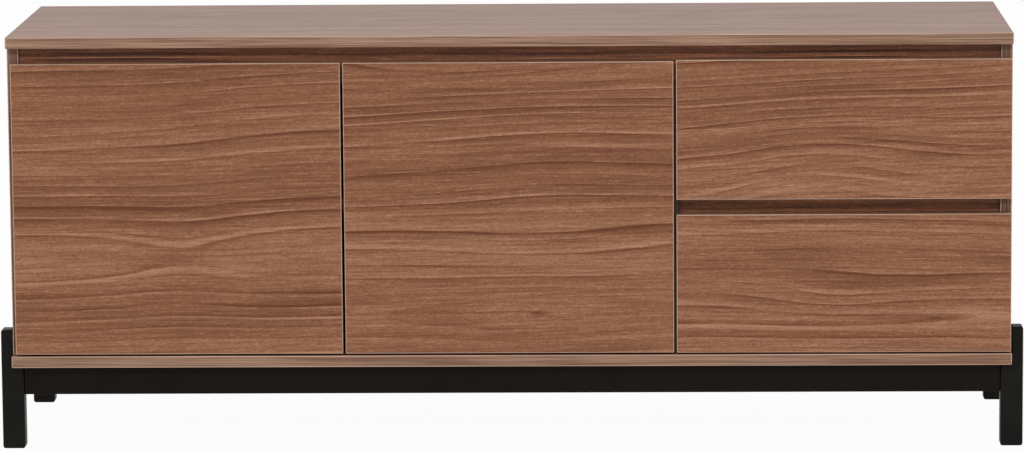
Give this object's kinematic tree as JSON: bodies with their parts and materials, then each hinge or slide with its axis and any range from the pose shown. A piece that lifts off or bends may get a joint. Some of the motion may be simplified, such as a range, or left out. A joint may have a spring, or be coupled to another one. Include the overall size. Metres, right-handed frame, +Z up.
{
  "type": "office credenza",
  "caption": "Low walnut-faced office credenza with hinged doors beside stacked drawers, handleless finger gaps under the top, on a black lapped-leg frame.",
  "frame": {"origin": "middle of the footprint, on the floor under the four legs", "axes": "+X to the right along the front, +Y to the back, +Z up; the doors and drawers face -Y"},
  "size_m": [1.6, 0.48, 0.652],
  "materials": {
    "walnut_board": "satin walnut-faced board",
    "walnut_front": "satin walnut-faced board with lipped edges",
    "finger_rail": "satin dark walnut",
    "back_board": "matt walnut-toned thin board",
    "black_lacquer": "satin black lacquer on hardwood",
    "drawer_board": "matt pale grey faced board",
    "hinge_nickel": "nickel-plated pressed steel",
    "runner_zinc": "zinc-plated rolled steel"
  },
  "bodies": {
    "carcass": {"top_panel": "walnut_board", "bottom_panel": "walnut_board", "left_side_panel": "walnut_board", "right_side_panel": "walnut_board", "bay_divider": "walnut_board", "back_panel": "back_board", "top_finger_rail": "finger_rail", "drawer_finger_rail": "finger_rail", "door_bay_shelf": "walnut_board", "shelf_pin_front_left": "hinge_nickel", "shelf_pin_front_right": "hinge_nickel", "shelf_pin_rear_left": "hinge_nickel", "shelf_pin_rear_right": "hinge_nickel", "front_left_leg": "black_lacquer", "rear_left_leg": "black_lacquer", "front_right_leg": "black_lacquer", "rear_right_leg": "black_lacquer", "base_front_rail": "black_lacquer", "base_rear_rail": "black_lacquer", "base_left_rail": "black_lacquer", "base_right_rail": "black_lacquer", "base_cross_rail": "black_lacquer", "left_door_lower_hinge_arm": "hinge_nickel", "left_door_lower_hinge_plate": "hinge_nickel", "left_door_upper_hinge_arm": "hinge_nickel", "left_door_upper_hinge_plate": "hinge_nickel", "right_door_lower_hinge_arm": "hinge_nickel", "right_door_lower_hinge_plate": "hinge_nickel", "right_door_upper_hinge_arm": "hinge_nickel", "right_door_upper_hinge_plate": "hinge_nickel", "upper_drawer_left_runner_outer": "runner_zinc", "upper_drawer_right_runner_outer": "runner_zinc", "lower_drawer_left_runner_outer": "runner_zinc", "lower_drawer_right_runner_outer": "runner_zinc"},
    "left_door": {"left_door": "walnut_front", "left_door_lower_hinge_cup": "hinge_nickel", "left_door_upper_hinge_cup": "hinge_nickel"},
    "right_door": {"right_door": "walnut_front", "right_door_lower_hinge_cup": "hinge_nickel", "right_door_upper_hinge_cup": "hinge_nickel"},
    "upper_drawer": {"upper_drawer_front": "walnut_front", "upper_drawer_left_side": "drawer_board", "upper_drawer_right_side": "drawer_board", "upper_drawer_back": "drawer_board", "upper_drawer_bottom": "drawer_board", "upper_drawer_left_runner_inner": "runner_zinc", "upper_drawer_right_runner_inner": "runner_zinc"},
    "lower_drawer": {"lower_drawer_front": "walnut_front", "lower_drawer_left_side": "drawer_board", "lower_drawer_right_side": "drawer_board", "lower_drawer_back": "drawer_board", "lower_drawer_bottom": "drawer_board", "lower_drawer_left_runner_inner": "runner_zinc", "lower_drawer_right_runner_inner": "runner_zinc"},
    "upper_runner_middles": {"upper_drawer_left_runner_middle": "runner_zinc", "upper_drawer_right_runner_middle": "runner_zinc"},
    "lower_runner_middles": {"lower_drawer_left_runner_middle": "runner_zinc", "lower_drawer_right_runner_middle": "runner_zinc"}
  },
  "joints": [
    {"name": "left_door_swing", "type": "hinge", "parent": "carcass", "child": "left_door", "pos_m": [-0.766, -0.2328, 0.3816], "axis": [0, 0, -1], "range_deg": [0, 90]},
    {"name": "right_door_swing", "type": "hinge", "parent": "carcass", "child": "right_door", "pos_m": [0.2475, -0.2328, 0.3816], "axis": [0, 0, 1], "range_deg": [0, 90]},
    {"name": "upper_drawer_pull", "type": "slide", "parent": "carcass", "child": "upper_drawer", "axis": [0, -1, 0], "range_m": [0, 0.38]},
    {"name": "lower_drawer_pull", "type": "slide", "parent": "carcass", "child": "lower_drawer", "axis": [0, -1, 0], "range_m": [0, 0.38]},
    {"name": "upper_runner_follow", "type": "slide", "parent": "carcass", "child": "upper_runner_middles", "axis": [0, -1, 0], "range_m": [0, 0.19]},
    {"name": "lower_runner_follow", "type": "slide", "parent": "carcass", "child": "lower_runner_middles", "axis": [0, -1, 0], "range_m": [0, 0.19]}
  ],
  "couplings": [
    {"joint": "upper_runner_follow", "follows": "upper_drawer_pull", "ratio": 0.5},
    {"joint": "lower_runner_follow", "follows": "lower_drawer_pull", "ratio": 0.5}
  ]
}
